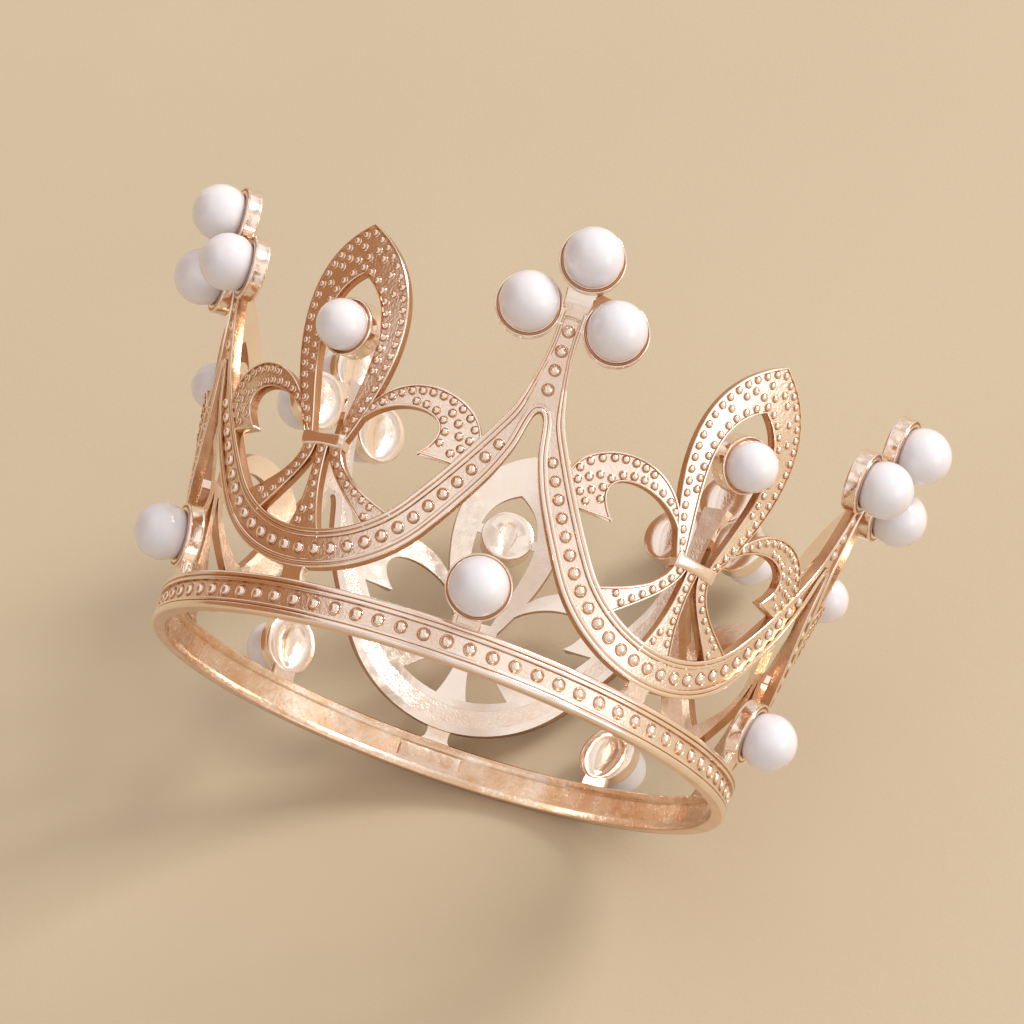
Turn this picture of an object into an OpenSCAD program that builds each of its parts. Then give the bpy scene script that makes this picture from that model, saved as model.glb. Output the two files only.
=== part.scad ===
// Mini crown hair ornament: a cast metal band, five swag arches with
// fleur-de-lis inserts, pearl settings and half-drilled faux pearls.
// Origin: centre of the band's bottom plane. +Z is up, the front peak faces -Y.

/* [Band] */
// Outer radius of the band's rails
band_r = 42.3; // [40:0.1:44]
// Height of the band
band_h = 5.4; // [5:0.1:6.5]
// Wall thickness of the band over its rails
band_wall = 2.1; // [2:0.1:2.2]
// Depth of the grooves outside and inside the band
band_groove = 0.6; // [0.3:0.1:0.7]
// Height of each rail above and below the grooves
band_rail = 1.5; // [1.2:0.1:1.8]

/* [Flare] */
// Outer radius of the wall's cone, carried down to the bottom plane
wall_r = 40.4; // [40.3:0.1:40.8]
// Outward flare of the wall, in mm per mm of height
flare = 0.175; // [0.16:0.005:0.18]

/* [Arches] */
// Height of the lowest point of an arch's centre line
arch_low = 9.9; // [9.6:0.1:10.2]
// Radius of the round bottom of an arch
arch_round = 21; // [20.5:0.1:21.5]
// Width of an arch at its bottom
arch_w_low = 5.2; // [4.8:0.1:5.4]
// Width of an arch where it meets its neighbour
arch_w_high = 4.2; // [4:0.1:4.4]
// Thickness of the arch casting
arch_t = 1.5; // [1.3:0.05:1.5]
// Width of the rails along an arch's edges
arch_rail = 1.25; // [1.1:0.05:1.4]
// Depth of the channel between the rails
arch_channel = 0.45; // [0.3:0.05:0.6]
// Width of the foot that joins an arch to the band
foot_w = 4; // [3:0.5:5]

/* [Fleurs-de-lis] */
// Height of the pointed tip of the fleur
fleur_tip = 53.8; // [53.4:0.1:54.2]
// Thickness of the fleur casting
fleur_t = 1.4; // [1.3:0.05:1.5]
// Height of the tie's centre line
tie_z = 24.4; // [24.2:0.1:24.6]
// Width of the tie
tie_w = 7; // [6.5:0.1:7.5]
// Height of the tie
tie_h = 2.1; // [2:0.1:2.4]

/* [Pearls] */
// Diameter of the peak and band pearls
pearl_d = 8; // [7.5:0.1:8.2]
// Diameter of the fleur pearls
small_pearl_d = 7; // [6.5:0.1:7.2]
// Diameter of the peg glued into a pearl
peg_d = 1; // [0.8:0.1:1.2]
// Depth of the blind hole in a pearl
bore_depth = 3; // [2.4:0.1:3.4]

/* [Settings] */
// Diameter by which a cup is wider than its pearl
cup_margin = 1; // [0.8:0.1:1.2]
// Depth of a peak or band cup
cup_h = 2.2; // [2:0.1:2.4]
// Depth of a fleur cup
fleur_cup_h = 3; // [2.6:0.1:3.2]
// Thickness of metal behind the pearl
cup_floor = 0.6; // [0.5:0.1:0.8]
// Outward lean of the plane through a peak's three pearls, in degrees
peak_lean = 15; // [13:1:17]
// Downward tilt of the cups on a peak, in degrees
cup_tilt = 7; // [6:0.5:9]

/* [Hidden] */
PEAKS = 5;
SECTOR = 360 / PEAKS;
BIG = 90;
GLUE_GAP = 0.05;
STEPS = 20;

// Pearl centres: distance from the crown's axis and height
BAND_PEARL = [46.2, 10.1];
FLEUR_PEARL = [49.2, 39.2];
SIDE_PEARL = [52.2, 47.2];
// How far apart the three peak pearls stand: sideways from the stem, and up to the top one
SIDE_REACH = 6.1;
TOP_REACH = 8.1;

// The stem that carries the peak pearls: heights and half-widths
STEM_LOW = 33.6;
STEM_FORK = 34.8;
STEM_HALF_LOW = 3.9;
STEM_SPLIT = 45;
STEM_HALF = 1.6;
STEM_TOP = 53;

// The bar behind the side pearls of a peak: height and thickness
TIE_BAR_H = 2.6;
TIE_BAR_T = 1.2;
// The pad under the top cup: height, and how far it stands in front of the stem
PAD_H = 2.2;
PAD_T = 0.5;

wall_tilt = atan(flare);
arch_sweep = 50;
ARM_DRAW_IN = 0.7;

// Outer radius of the wall's cone at height z
function cone_r(z) = wall_r + flare * z;

// A design point is [distance along the wall's face, height]. This gives where
// it lies when the wall is seen square on from the front.
function seen(p) = [cone_r(p[1]) * sin(p[0] / cone_r(p[1]) * 180 / PI), p[1]];
function seen_all(points) = [for (p = points) seen(p)];
function flip(points) = [for (i = [len(points) - 1:-1:0]) [-points[i][0], points[i][1]]];

// Cubic curve through its first and last control points
function cubic(c, t) =
    pow(1 - t, 3) * c[0] + 3 * pow(1 - t, 2) * t * c[1]
    + 3 * (1 - t) * t * t * c[2] + pow(t, 3) * c[3];
function curve(c, n = STEPS) = [for (i = [0:n]) cubic(c, i / n)];
function backwards(points) = [for (i = [len(points) - 1:-1:0]) points[i]];

// Arch centre line: a round bottom, then a bowed arm up to the peak
arch_turn = [arch_round * sin(arch_sweep), arch_low + arch_round * (1 - cos(arch_sweep))];
arm_bow = arch_turn + 10.4 * [cos(arch_sweep), sin(arch_sweep)];
arm_end = [28.5, 35.4];
function arm(t) = pow(1 - t, 2) * arch_turn + 2 * (1 - t) * t * arm_bow + t * t * arm_end;
function round_part(a) = [arch_round * sin(a), arch_low + arch_round * (1 - cos(a))];
arch_half = concat([for (i = [0:14]) round_part(arch_sweep * i / 14)],
                   [for (i = [1:14]) arm(i / 14)]);
arch_line = concat(flip([for (i = [1:len(arch_half) - 1]) arch_half[i]]), arch_half);

// Unit normal of a line of points, on the side of the arch's inside
function across(line, i) =
    let (a = line[max(i - 1, 0)], b = line[min(i + 1, len(line) - 1)], d = b - a)
    [-d[1], d[0]] / norm(d);
function arch_w(p) =
    arch_w_low + (arch_w_high - arch_w_low) * min(1, (p[1] - arch_low) / (32 - arch_low));
function ease(x) = let (t = min(1, max(0, x))) t * t * (3 - 2 * t);
// The lower side draws in near the peak, which lets the gap between two arches reach higher
function draw_in(p, side) = side < 0 ? ARM_DRAW_IN * ease((p[1] - 25) / 9) : 0;
function arch_side(trim, side) =
    [for (i = [0:len(arch_line) - 1])
        arch_line[i] + side * across(arch_line, i)
            * (arch_w(arch_line[i]) / 2 - trim - draw_in(arch_line[i], side))];

// Fleur outlines, right half: control points of each curve
LOOP_OUT = [[0, fleur_tip], [9.2, 49], [11.8, 39.7], [3.4, tie_z]];
LOOP_IN = [[0, 47], [8.1, 42.7], [3.7, 32.8], [2.2, tie_z + 0.9]];
CURL_OUT = [[4.6, 28], [10.6, 39.9], [28.8, 32.6], [20.2, 24.4]];
CURL_IN = [[3, tie_z], [6, 33.6], [22.4, 32.3], [14.2, 25.2]];
LEG_UPPER = [[3.2, 23.6], [3.8, 20.4], [7.4, 18.4], [13, 16.4]];
LEG_LOWER = [[1.2, 23.6], [1.6, 20.7], [4.8, 17.9], [9.2, 14]];
MIDDLE_LEG = [[0.9, 23.6], [0.7, 20], [0.9, 16], [2.9, 11.5]];

// ---- Shared shapes ----

// Turns a shape drawn at the front round to an azimuth
module at(azimuth) { rotate([0, 0, azimuth]) children(); }

// Part of the flared wall's shell, from depth d1 to depth d2 behind its outer face
module shell(d1, d2) {
    rotate_extrude($fn = 180) polygon([
        [cone_r(0) - d2, 0], [cone_r(0) - d1, 0], [cone_r(BIG) - d1, BIG], [cone_r(BIG) - d2, BIG]]);
}

// Cuts a front-view outline out of the wall
module cut_from_wall(d1, d2) {
    intersection() {
        rotate([90, 0, 0]) linear_extrude(BIG) children();
        shell(d1, d2);
    }
}

// Stands a shape on its setting plane: local +Z looks out of the wall,
// and the local origin is the centre of the pearl
module on_pearl(centre, lean, sideways = 0) {
    translate([sideways, -centre[0], centre[1]]) rotate([90 + lean, 0, 0]) children();
}

// A pearl, half-drilled from behind for its peg
module pearl(d) {
    color("#f3eef0") difference() {
        sphere(d = d, $fn = 64);
        translate([0, 0, -d / 2 - 1])
            cylinder(d = peg_d + 2 * GLUE_GAP, h = 1 + bore_depth, $fn = 32);
    }
}

// The outside of a cup, which other shapes are trimmed against
module cup_blank(d, h) {
    translate([0, 0, -d / 2 - cup_floor]) cylinder(d = d + cup_margin, h = h, $fn = 64);
}

// What is taken out of a cup: the round seat, the step in its rim and the hollow back
module cup_hollow(d, h) {
    seat = d / 2 + GLUE_GAP;
    back = -d / 2 - cup_floor;
    sphere(r = seat, $fn = 64);
    translate([0, 0, back + h - 0.3]) cylinder(d = d + cup_margin - 0.8, h = 1, $fn = 64);
    translate([0, 0, back - 1]) linear_extrude(1.3) {
        for (s = [-1, 1]) translate([0, s * 1.3]) circle(d = 3, $fn = 32);
        square([3, 2.6], center = true);
    }
}

module cup_peg(d) {
    translate([0, 0, -d / 2 - cup_floor + 0.3])
        cylinder(d = peg_d, h = bore_depth, $fn = 32);
}

module cup(d, h) {
    difference() {
        cup_blank(d, h);
        cup_hollow(d, h);
    }
    cup_peg(d);
}

// ---- Band ----

module band() {
    inner = band_r - band_wall;
    bevel = 0.45;
    color("#e4b48f") rotate_extrude($fn = 180) polygon([
        [inner, 0], [band_r - bevel, 0], [band_r, bevel], [band_r, band_rail],
        [band_r - band_groove, band_rail], [band_r - band_groove, band_h - band_rail],
        [band_r, band_h - band_rail], [band_r, band_h - bevel], [band_r - bevel, band_h],
        [inner, band_h], [inner, band_h - band_rail + 0.3],
        [inner + band_groove, band_h - band_rail + 0.3],
        [inner + band_groove, band_rail - 0.3], [inner, band_rail - 0.3]]);
}

// Solder plate that closes the band at the back, let into its inner groove
module band_splice() {
    low = band_rail - 0.3;
    color("#d9a57e") intersection() {
        translate([0, 0, low]) difference() {
            cylinder(r = band_r - band_wall + band_groove, h = band_h - 2 * low, $fn = 180);
            translate([0, 0, -1]) cylinder(r = band_r - band_wall, h = band_h, $fn = 180);
        }
        translate([-5, 0, 0]) cube([10, BIG, band_h]);
    }
}

// ---- Arches ----

module arch_outline(trim) {
    polygon(seen_all(concat(arch_side(trim, 1), backwards(arch_side(trim, -1)))));
}

// Half of the stem beside the right-hand peak, up to where the peak's own stem starts
module half_stem_outline(trim) {
    peak = SECTOR / 2 * PI / 180;
    polygon(seen_all([
        [peak * cone_r(STEM_FORK), STEM_FORK],
        [peak * cone_r(STEM_SPLIT) + 4, STEM_FORK],
        [peak * cone_r(STEM_SPLIT) + 4, STEM_SPLIT],
        [peak * cone_r(STEM_SPLIT) - STEM_HALF + trim, STEM_SPLIT],
        [peak * cone_r(39) - 2.4 + trim, 39],
        [peak * cone_r(STEM_LOW) - STEM_HALF_LOW + trim, STEM_LOW]]));
}

module arch_face(trim) {
    arch_outline(trim);
    half_stem_outline(trim);
    mirror([1, 0]) half_stem_outline(trim);
}

// The wedge between two neighbouring peaks, which one arch fills
module sector() {
    a = SECTOR / 2;
    linear_extrude(BIG) polygon([
        [0, 0], [-BIG * sin(a), -BIG * cos(a)], [0, -BIG / cos(a)], [BIG * sin(a), -BIG * cos(a)]]);
}

module arch() {
    color("#e4b48f") {
        intersection() {
            difference() {
                cut_from_wall(0, arch_t) arch_face(0);
                cut_from_wall(-1, arch_channel) arch_face(arch_rail);
            }
            sector();
        }
        cut_from_wall(-0.1, 1.05)
            translate([-foot_w / 2, band_h]) square([foot_w, arch_low - 2 - band_h]);
    }
}

// ---- Fleurs-de-lis ----

// The closed loop: one full outline less another, so that nothing meets on the middle line
module loop() {
    difference() {
        polygon(seen_all(concat(curve(LOOP_OUT), flip(curve(LOOP_OUT)))));
        polygon(seen_all(concat(curve(LOOP_IN), flip(curve(LOOP_IN)))));
    }
}

module half_curl() {
    polygon(seen_all(concat(curve(CURL_OUT), backwards(curve(CURL_IN)))));
}

module half_leg() {
    polygon(seen_all(concat(curve(LEG_UPPER, 8), backwards(curve(LEG_LOWER, 8)))));
}

module tie_outline() {
    flare_out = 0.3;
    polygon([[-tie_w / 2, tie_z + tie_h / 2], [0, tie_z + tie_h / 2 - flare_out],
             [tie_w / 2, tie_z + tie_h / 2], [tie_w / 2 - flare_out, tie_z - tie_h / 2],
             [0, tie_z - tie_h / 2 + flare_out], [flare_out - tie_w / 2, tie_z - tie_h / 2]]);
}

module fleur_face() {
    loop();
    for (side = [0, 1]) mirror([side, 0]) {
        half_curl();
        half_leg();
    }
    polygon(seen_all(concat(curve(MIDDLE_LEG, 8), flip(curve(MIDDLE_LEG, 8)))));
}

module fleur() {
    back = (arch_t + fleur_t) / 2;
    color("#e8bd99") {
        cut_from_wall(back - fleur_t, back) difference() {
            fleur_face();
            arch_outline(0);
        }
        cut_from_wall(-0.35, back) tie_outline();
    }
}

// ---- Settings ----

// Stands a shape on the setting plane of a peak: sideways from the stem, and up the peak
module on_peak(sideways, up) {
    on_pearl(SIDE_PEARL + up * [sin(peak_lean), cos(peak_lean)], cup_tilt, sideways) children();
}

// Three cups on the top of a stem. A bar behind the side pearls ties their cups to the stem,
// and a pad in front of the stem carries the top cup
module peak_setting() {
    color("#e4b48f") {
        cut_from_wall(0, arch_t)
            translate([-STEM_HALF, STEM_SPLIT]) square([2 * STEM_HALF, STEM_TOP - STEM_SPLIT]);
        cut_from_wall(-PAD_T, arch_t)
            translate([-STEM_HALF, STEM_TOP - PAD_H]) square([2 * STEM_HALF, PAD_H]);
        for (side = [-1, 1]) on_peak(side * SIDE_REACH, 0) cup(pearl_d, cup_h);
        on_peak(0, TOP_REACH) cup(pearl_d, cup_h);
        difference() {
            on_peak(0, 0)
                translate([-SIDE_REACH, -TIE_BAR_H / 2, -pearl_d / 2 - cup_floor])
                    cube([2 * SIDE_REACH, TIE_BAR_H, TIE_BAR_T]);
            for (side = [-1, 1]) on_peak(side * SIDE_REACH, 0) cup_hollow(pearl_d, cup_h);
        }
    }
}

// One cup on a short neck that stands on the band
module band_setting() {
    neck_w = 3.9;
    color("#e4b48f") {
        on_pearl(BAND_PEARL, wall_tilt) cup(pearl_d, cup_h);
        difference() {
            on_pearl(BAND_PEARL, wall_tilt)
                translate([-neck_w / 2, -pearl_d, -pearl_d / 2 - cup_floor])
                    cube([neck_w, pearl_d - 3.4, 1.5]);
            translate([-BIG / 2, -BIG, band_h - BIG]) cube([BIG, BIG, BIG]);
            on_pearl(BAND_PEARL, wall_tilt) cup_hollow(pearl_d, cup_h);
        }
    }
}

// One cup held between the limbs of the fleur's loop by two webs
module fleur_setting() {
    web_h = 2;
    web_z = FLEUR_PEARL[1] + 0.7;
    color("#e4b48f") {
        on_pearl(FLEUR_PEARL, wall_tilt) cup(small_pearl_d, fleur_cup_h);
        difference() {
            cut_from_wall(0.3, 1.2) difference() {
                translate([-6, web_z - web_h / 2]) square([12, web_h]);
                fleur_face();
            }
            on_pearl(FLEUR_PEARL, wall_tilt) {
                cup_blank(small_pearl_d, fleur_cup_h);
                cup_hollow(small_pearl_d, fleur_cup_h);
            }
        }
    }
}

// ---- Assembly: peaks are numbered from the front one towards +X ----

function peak_azimuth(n) = (n - 1) * SECTOR;
function arch_azimuth(n) = peak_azimuth(n) + SECTOR / 2;

COUNT = [for (n = [1:PEAKS]) n];
SINGLES = ["band", "band_splice"];

band();
band_splice();
for (n = COUNT) {
    at(arch_azimuth(n)) arch();
    at(arch_azimuth(n)) fleur();
    at(peak_azimuth(n)) peak_setting();
    at(peak_azimuth(n)) band_setting();
    at(arch_azimuth(n)) fleur_setting();
    at(peak_azimuth(n))
        on_peak(0, TOP_REACH) pearl(pearl_d);
    at(peak_azimuth(n))
        on_peak(-SIDE_REACH, 0) pearl(pearl_d);
    at(peak_azimuth(n))
        on_peak(SIDE_REACH, 0) pearl(pearl_d);
    at(peak_azimuth(n))
        on_pearl(BAND_PEARL, wall_tilt) pearl(pearl_d);
    at(arch_azimuth(n))
        on_pearl(FLEUR_PEARL, wall_tilt) pearl(small_pearl_d);
}
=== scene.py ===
"""Looks of a mini crown hair ornament: beaded band, five swag arches with fleurs-de-lis, pearls in cups."""
import math
import random

import bpy
from mathutils import Matrix, Vector


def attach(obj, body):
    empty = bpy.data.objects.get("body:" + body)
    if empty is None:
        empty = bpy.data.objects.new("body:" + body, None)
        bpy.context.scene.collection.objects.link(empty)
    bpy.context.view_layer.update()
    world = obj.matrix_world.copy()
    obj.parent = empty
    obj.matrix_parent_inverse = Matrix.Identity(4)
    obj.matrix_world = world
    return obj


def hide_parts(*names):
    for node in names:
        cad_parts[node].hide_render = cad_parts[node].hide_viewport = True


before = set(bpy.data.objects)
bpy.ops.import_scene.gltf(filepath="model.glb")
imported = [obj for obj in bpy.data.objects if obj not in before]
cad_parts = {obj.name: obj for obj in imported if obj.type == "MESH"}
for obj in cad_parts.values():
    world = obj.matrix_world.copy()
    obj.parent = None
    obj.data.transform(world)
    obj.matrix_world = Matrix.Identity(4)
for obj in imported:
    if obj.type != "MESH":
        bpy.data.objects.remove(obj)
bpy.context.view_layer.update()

MM = 0.001
PEAKS = 5
SECTOR = 2 * math.pi / PEAKS
rng = random.Random(7)

# ---------------------------------------------------------------- sizes in mm, the larger ones as in the CAD
BAND_R, BAND_H, BAND_INNER_R = 42.3, 5.4, 40.2
BAND_BEADS, BEAD_SINK = 82, 0.56
# The wall is a cone, WALL_R at z = 0, that opens by FLARE for each mm of height
WALL_R, FLARE = 40.4, 0.175
ARCH_LOW, ARCH_ROUND, ARCH_SWEEP = 9.9, 21.0, math.radians(50)
ARCH_BOW, ARCH_END = 10.4, (28.5, 35.4)
ARCH_W_LOW, ARCH_W_HIGH, ARCH_TAPER_TOP, ARCH_T = 5.2, 4.2, 32, 1.5
STEM_HALF, STEM_WAIST, STEM_TOP = 1.6, 46, 53.0
V_APEX, STEM_RAIL_TOP = 35.2, 48.0
TIE_Z = 24.4
PEARL_D, SMALL_PEARL_D = 8.0, 7.0
# Pearl centres as (radius, z), and how far a peak's side and top pearls reach from its side pair's middle
BAND_PEARL, FLEUR_PEARL, SIDE_PEARL = (46.2, 10.1), (49.2, 39.2), (52.2, 47.2)
SIDE_REACH, TOP_REACH, PEAK_LEAN, CUP_TILT = 6.1, 8.1, math.radians(15), math.radians(7)
WALL_TILT = math.atan(FLARE)
CUP_FLOOR, CUP_H, FLEUR_CUP_H = 0.6, 2.2, 3.0
CUP_BACK = -PEARL_D / 2 - CUP_FLOOR
HOLE_DEPTH = 2.8

# Fleur outlines, right half: control points of each cubic, in the unrolled wall
LOOP_OUT = [(0, 53.8), (9.2, 49), (11.8, 39.7), (3.4, TIE_Z)]
LOOP_IN = [(0, 47), (8.1, 42.7), (3.7, 32.8), (2.2, 25.3)]
CURL_OUT = [(4.6, 28), (10.6, 39.9), (28.8, 32.6), (20.2, 24.4)]
CURL_IN = [(3, TIE_Z), (6, 33.6), (22.4, 32.3), (14.2, 25.2)]
LEG_UPPER = [(3.2, 23.6), (3.8, 20.4), (7.4, 18.4), (13, 16.4)]
LEG_LOWER = [(1.2, 23.6), (1.6, 20.7), (4.8, 17.9), (9.2, 14)]
MIDDLE_LEG = [(0.9, 23.6), (0.7, 20), (0.9, 16), (2.9, 11.5)]


# ---------------------------------------------------------------- materials
def material(name, base, metallic, roughness, **sockets):
    """A Principled material; further sockets are named with _ for each space."""
    m = bpy.data.materials.new(name)
    m.use_nodes = True
    b = m.node_tree.nodes["Principled BSDF"]
    b.inputs["Base Color"].default_value = (*base, 1)
    b.inputs["Metallic"].default_value = metallic
    b.inputs["Roughness"].default_value = roughness
    for k, v in sockets.items():
        b.inputs[k.replace("_", " ")].default_value = v
    return m, m.node_tree, b


def node(tree, kind, **settings):
    """A new node; settings name its sockets, or else its properties."""
    n = tree.nodes.new(kind)
    for k, v in settings.items():
        if k in n.inputs:
            n.inputs[k].default_value = v
        else:
            setattr(n, k, v)
    return n


def noise(tree, scale, detail):
    """Noise fixed to the piece, scale in cycles per metre."""
    place = node(tree, "ShaderNodeTexCoord")
    n = node(tree, "ShaderNodeTexNoise", Scale=scale, Detail=detail)
    tree.links.new(place.outputs["Object"], n.inputs["Vector"])
    return n.outputs["Fac"]


def ramp(tree, source, low, high, a, b):
    """Colour a where the source is at or under low, b where it is at or over high."""
    r = node(tree, "ShaderNodeValToRGB")
    start, end = r.color_ramp.elements
    start.position, end.position = low, high
    start.color, end.color = (*a, 1), (*b, 1)
    tree.links.new(source, r.inputs["Fac"])
    return r.outputs["Color"]


def spread(tree, source, low, high):
    """The middle of a noise's range stretched over low to high."""
    m = node(tree, "ShaderNodeMapRange")
    m.inputs["From Min"].default_value, m.inputs["From Max"].default_value = 0.3, 0.7
    m.inputs["To Min"].default_value, m.inputs["To Max"].default_value = low, high
    tree.links.new(source, m.inputs["Value"])
    return m.outputs["Result"]


def bump(tree, shader, source, distance, after=None):
    """Dents the shader's normal by a depth in metres, on top of an earlier bump."""
    b = node(tree, "ShaderNodeBump", Strength=1.0, Distance=distance)
    tree.links.new(source, b.inputs["Height"])
    if after is not None:
        tree.links.new(after, b.inputs["Normal"])
    tree.links.new(b.outputs["Normal"], shader.inputs["Normal"])
    return b.outputs["Normal"]


def plated(name, light, dark, rough_low, rough_high, grain, grain_depth, wave_depth=0.00004):
    """Rose-gold plate over a casting: clouded tint, uneven polish, soft dents and a fine grain.
    grain is its scale in cycles per metre, and both depths are in metres."""
    m, t, b = material(name, light, 1.0, rough_low)
    t.links.new(ramp(t, noise(t, 260, 4), 0.3, 0.7, dark, light), b.inputs["Base Color"])
    t.links.new(spread(t, noise(t, 900, 3), rough_low, rough_high), b.inputs["Roughness"])
    waves = bump(t, b, noise(t, 330, 2), wave_depth)
    bump(t, b, noise(t, grain, 3), grain_depth, after=waves)
    return m


POLISHED = plated("plate_polished", (0.98, 0.86, 0.76), (0.96, 0.80, 0.67), 0.08, 0.18, 3500, 0.00001)
CAST = plated("plate_cast", (0.97, 0.85, 0.75), (0.92, 0.75, 0.62), 0.14, 0.27, 2600, 0.00006)
# painted shade: a darker plate for grooves, sunk rings, recesses and side walls, where shade falls
PAINTED_SHADE_PLATE = plated("plate_recess_painted_shade", (0.64, 0.36, 0.20), (0.48, 0.24, 0.12), 0.16, 0.30, 2600, 0.00003)
ROUGH = plated("plate_rough_inside", (0.98, 0.86, 0.74), (0.84, 0.59, 0.39), 0.15, 0.30, 1500, 0.00005,
               wave_depth=0.00008)
# painted shade: a darker plate for the band's underside, standing in for a shadowed reflection
BOTTOM_SHADE_PLATE = plated("plate_bottom_painted_shade", (0.88, 0.63, 0.48), (0.78, 0.52, 0.37), 0.12, 0.24, 2600, 0.00002)
SOLDER = plated("plate_solder", (0.93, 0.76, 0.63), (0.84, 0.62, 0.47), 0.20, 0.36, 1200, 0.00005,
                wave_depth=0.0001)


def pearl_material():
    """Milky paint with a faint pink and blue cloud, a pink sheen at the edge and a clear lacquer."""
    m, t, b = material("pearl_lustre", (0.78, 0.77, 0.80), 0.0, 0.30, Coat_Weight=1.0, Coat_Roughness=0.04,
                       Specular_IOR_Level=0.8, Subsurface_Weight=0.3, Subsurface_Scale=0.002,
                       Subsurface_Radius=(1.0, 0.75, 0.7), Sheen_Weight=0.25, Sheen_Tint=(1.0, 0.80, 0.88, 1))
    tint = ramp(t, noise(t, 140, 2), 0.35, 0.68, (0.87, 0.85, 0.87), (0.81, 0.81, 0.88))
    t.links.new(tint, b.inputs["Base Color"])
    bump(t, b, noise(t, 420, 2), 0.00002)
    return m


PEARL = pearl_material()
GOLD = [POLISHED, CAST, PAINTED_SHADE_PLATE, ROUGH, BOTTOM_SHADE_PLATE]
# their numbers on a face
SHINY, MATT, PAINTED_SHADE_FACE, INSIDE, BOTTOM_SHADE_FACE = range(5)


# ---------------------------------------------------------------- mesh helpers
class Shape:
    """Vertices and faces of one piece, each face with the number of its material."""

    def __init__(self):
        self.verts, self.faces, self.mats = [], [], []

    def ring(self, points):
        """Adds points and returns their numbers."""
        start = len(self.verts)
        self.verts.extend(points)
        return list(range(start, start + len(points)))

    def face(self, ids, mat=0):
        self.faces.append(ids)
        self.mats.append(mat)

    def loft(self, rings, around=False, mats=None):
        """Skins closed rings of points; around joins the last ring to the first, or else both get a cap.
        mats gives the material of the strip that starts at each point of a ring."""
        ids = [self.ring(r) for r in rings]
        n = len(ids[0])
        pairs = list(zip(ids, ids[1:])) + ([(ids[-1], ids[0])] if around else [])
        for a, b in pairs:
            for i in range(n):
                j = (i + 1) % n
                self.face([a[i], a[j], b[j], b[i]], mats[i] if mats else 0)
        if not around:
            self.face(ids[0][::-1])
            self.face(ids[-1])

    def lathe(self, place, profile, count, mats=None):
        """Turns an (r, z) profile about the local Z axis of the matrix; a point at r = 0 closes the shape.
        mats gives the material of each row of faces."""
        rows = []
        for r, z in profile:
            if r < 1e-6:
                rows.append(self.ring([place @ Vector((0, 0, z * MM))]))
            else:
                rows.append(self.ring([place @ Vector((r * math.cos(a) * MM, r * math.sin(a) * MM, z * MM))
                                       for a in (2 * math.pi * k / count for k in range(count))]))
        for k, (a, b) in enumerate(zip(rows, rows[1:])):
            mat = mats[k] if mats else 0
            for i in range(count):
                j = (i + 1) % count
                if len(a) == 1:
                    self.face([a[0], b[i], b[j]], mat)
                elif len(b) == 1:
                    self.face([a[i], b[0], a[j]], mat)
                else:
                    self.face([a[i], b[i], b[j], a[j]], mat)
        return rows

    def build(self, name, materials, nodes=(), sharp=38):
        """Makes the object, puts it on the crown's body and hides the CAD nodes that it stands for."""
        mesh = bpy.data.meshes.new(name)
        mesh.from_pydata([tuple(v) for v in self.verts], [], self.faces)
        for m in materials:
            mesh.materials.append(m)
        mesh.polygons.foreach_set("material_index", self.mats)
        mesh.shade_smooth()
        mesh.set_sharp_from_angle(angle=math.radians(sharp))
        mesh.validate()
        mesh.update()
        o = bpy.data.objects.new(name, mesh)
        bpy.context.scene.collection.objects.link(o)
        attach(o, "root")
        if nodes:
            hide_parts(*nodes)
        return o


def polar(r, z, azimuth):
    """A point at a radius and height; azimuth 0 is the front, -Y."""
    return Vector((r * math.sin(azimuth), -r * math.cos(azimuth), z)) * MM


def cone_r(z):
    """Radius of the wall's outer face."""
    return WALL_R + FLARE * z


def wrap(u, z, h, azimuth):
    """A point of the unrolled wall, u along it and z up, h in front of its outer face."""
    r = cone_r(z)
    return polar(r + h, z, azimuth + u / r)


def axes(x, y, z, origin):
    """A matrix from three unit axes and an origin."""
    m = Matrix((x, y, z)).transposed().to_4x4()
    m.translation = origin
    return m


def wall_place(u, z, h, azimuth):
    """A matrix that stands a small detail on the wall, its Z axis square to the wall."""
    here = wrap(u, z, h, azimuth)
    east = (wrap(u + 0.05, z, h, azimuth) - here).normalized()
    up = (wrap(u, z + 0.05, h, azimuth) - here).normalized()
    out = east.cross(up).normalized()
    return axes(east, out.cross(east), out, here)


def cubic(c, t):
    """The point at t of a cubic with control points c."""
    k = ((1 - t) ** 3, 3 * (1 - t) ** 2 * t, 3 * (1 - t) * t * t, t ** 3)
    return (sum(k[i] * c[i][0] for i in range(4)), sum(k[i] * c[i][1] for i in range(4)))


def curve(c, n=40):
    """A cubic as a line of n steps."""
    return [cubic(c, i / n) for i in range(n + 1)]


def mirrored(points):
    """A line on the other side of the middle, walked the other way."""
    return [(-x, z) for x, z in reversed(points)]


def lengths(points):
    """Distance walked along a line to each of its points."""
    out = [0.0]
    for a, b in zip(points, points[1:]):
        out.append(out[-1] + math.dist(a, b))
    return out


def resample(points, step):
    """Points evenly spaced along a line, about step apart."""
    along = lengths(points)
    n = max(2, round(along[-1] / step))
    out, i = [], 0
    for k in range(n + 1):
        s = along[-1] * k / n
        while i < len(points) - 2 and along[i + 1] < s:
            i += 1
        t = (s - along[i]) / max(along[i + 1] - along[i], 1e-9)
        out.append(tuple(p + t * (q - p) for p, q in zip(points[i], points[i + 1])))
    return out


def relax(points, rounds):
    """Smooths a line and keeps its two ends."""
    for _ in range(rounds):
        points = [points[0]] + [tuple((a + 2 * b + c) / 4 for a, b, c in zip(*trio))
                                for trio in zip(points, points[1:], points[2:])] + [points[-1]]
    return points


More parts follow.
